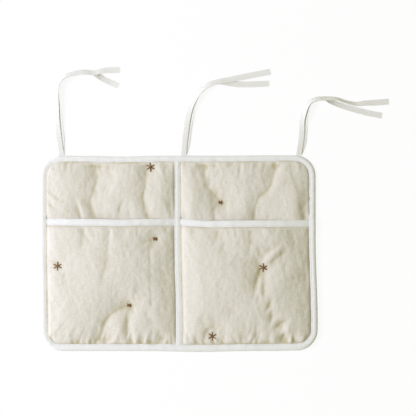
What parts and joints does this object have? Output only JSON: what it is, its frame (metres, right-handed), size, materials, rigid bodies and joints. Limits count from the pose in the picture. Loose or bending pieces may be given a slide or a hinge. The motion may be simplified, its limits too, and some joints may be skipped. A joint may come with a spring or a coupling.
{
  "type": "crib organizer",
  "caption": "Padded cloth crib organizer with bound edges, side-by-side open pockets on its lower part, a centre tape, tuft stitches and tape ties along its top edge.",
  "frame": {"origin": "on the surface that the organizer lies on, under the middle of the panel", "axes": "+X along the panel's width, to the right seen from the front; +Y up the panel, towards the ties; +Z out of the front face"},
  "size_m": [0.6322, 0.5183, 0.0238],
  "materials": {
    "ecru_cotton": "plain-woven unbleached cotton, soft and matt",
    "white_tape": "white cotton tape, matt",
    "wadding": "polyester wadding, fluffy",
    "brown_thread": "stranded brown embroidery thread"
  },
  "bodies": {
    "panel": {"back_cloth": "ecru_cotton", "panel_wadding": "wadding", "front_cloth": "ecru_cotton", "edge_binding": "white_tape", "centre_tape": "white_tape", "star_upper_left": "brown_thread", "knot_upper_right": "brown_thread"},
    "left_pocket": {"left_pocket_lining": "ecru_cotton", "left_pocket_wadding": "wadding", "left_pocket_face": "ecru_cotton", "left_pocket_hem": "white_tape", "knot_left_pocket_upper": "brown_thread", "star_left_pocket_side": "brown_thread", "knot_left_pocket_lower": "brown_thread"},
    "right_pocket": {"right_pocket_lining": "ecru_cotton", "right_pocket_wadding": "wadding", "right_pocket_face": "ecru_cotton", "right_pocket_hem": "white_tape", "star_right_pocket_middle": "brown_thread", "star_right_pocket_foot": "brown_thread"},
    "left_tie_tape": {"left_tie": "white_tape"},
    "centre_tie_tape": {"centre_tie": "white_tape"},
    "right_tie_tape": {"right_tie": "white_tape"}
  },
  "joints": [
    {"name": "left_pocket_open", "type": "hinge", "parent": "panel", "child": "left_pocket", "pos_m": [-0.12325, -0.166, 0.005], "axis": [1, 0, 0], "range_deg": [0, 10]},
    {"name": "right_pocket_open", "type": "hinge", "parent": "panel", "child": "right_pocket", "pos_m": [0.11975, -0.166, 0.005], "axis": [1, 0, 0], "range_deg": [0, 10]},
    {"name": "left_tie_swing", "type": "hinge", "parent": "panel", "child": "left_tie_tape", "pos_m": [-0.216, 0.17945, 0.0025], "axis": [1, 0, 0], "range_deg": [0, 100]},
    {"name": "centre_tie_swing", "type": "hinge", "parent": "panel", "child": "centre_tie_tape", "pos_m": [0.007, 0.17945, 0.0025], "axis": [1, 0, 0], "range_deg": [0, 100]},
    {"name": "right_tie_swing", "type": "hinge", "parent": "panel", "child": "right_tie_tape", "pos_m": [0.217, 0.17945, 0.0025], "axis": [1, 0, 0], "range_deg": [0, 100]}
  ]
}
